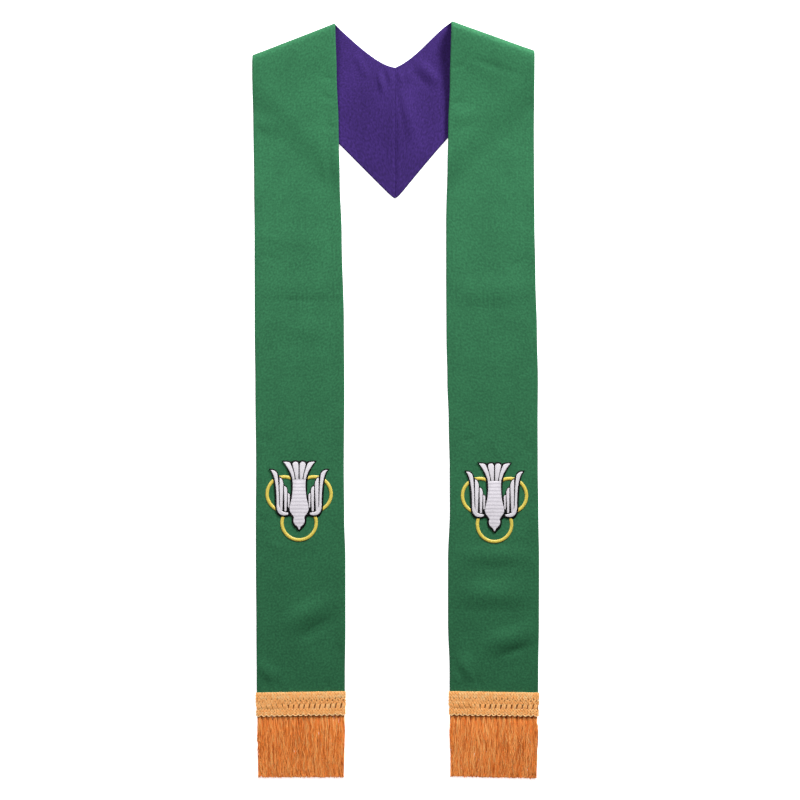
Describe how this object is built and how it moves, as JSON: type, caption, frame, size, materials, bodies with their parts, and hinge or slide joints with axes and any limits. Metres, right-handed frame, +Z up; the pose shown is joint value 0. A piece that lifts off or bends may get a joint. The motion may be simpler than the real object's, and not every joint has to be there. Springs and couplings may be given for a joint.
{
  "type": "clerical stole",
  "caption": "Long two-sided band of cloth laid flat, folded at both shoulders, with a mitred neck seam, raised emblems, braid and fringed ends.",
  "frame": {"origin": "middle of the outline, on the table that the stole lies on", "axes": "+Y runs from the fringed ends up to the neck, +X to the viewer's right, +Z up out of the table"},
  "size_m": [0.4157, 1.0983, 0.0255],
  "materials": {
    "green_cloth": "matt woven polyester with a soft sheen",
    "purple_cloth": "matt woven polyester",
    "braid": "gold rayon gimp braid",
    "fringe": "gold rayon fringe",
    "gold_thread": "satin-stitched gold thread",
    "white_thread": "satin-stitched white thread"
  },
  "bodies": {
    "root": {"left_face": "green_cloth", "right_face": "green_cloth", "left_lining": "purple_cloth", "right_lining": "purple_cloth", "left_braid": "braid", "right_braid": "braid", "left_fringe": "fringe", "right_fringe": "fringe", "left_rings": "gold_thread", "right_rings": "gold_thread", "left_dove": "white_thread", "right_dove": "white_thread"}
  },
  "joints": []
}
